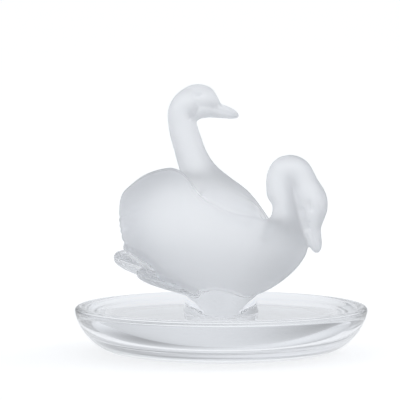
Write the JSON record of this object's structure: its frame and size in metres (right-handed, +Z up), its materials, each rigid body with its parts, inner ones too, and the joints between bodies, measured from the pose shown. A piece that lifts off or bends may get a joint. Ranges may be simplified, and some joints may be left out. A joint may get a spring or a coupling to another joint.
{
  "type": "swan pair sculpture",
  "caption": "Satin crystal swan pair, a raised head beside a bowed head, on a clear foot standing in a thick, shallow round dish for rings and pins.",
  "frame": {"origin": "centre of the dish's flat underside", "axes": "+Z up, +X the way both swans face, +Y towards the swan with the raised head"},
  "size_m": [0.096, 0.096, 0.087],
  "materials": {
    "dish": "clear polished lead crystal",
    "swan_pair": "clear crystal with acid-satin swans and polished tails and foot"
  },
  "bodies": {
    "root": {"dish": "dish", "swan_pair": "swan_pair"}
  },
  "joints": []
}
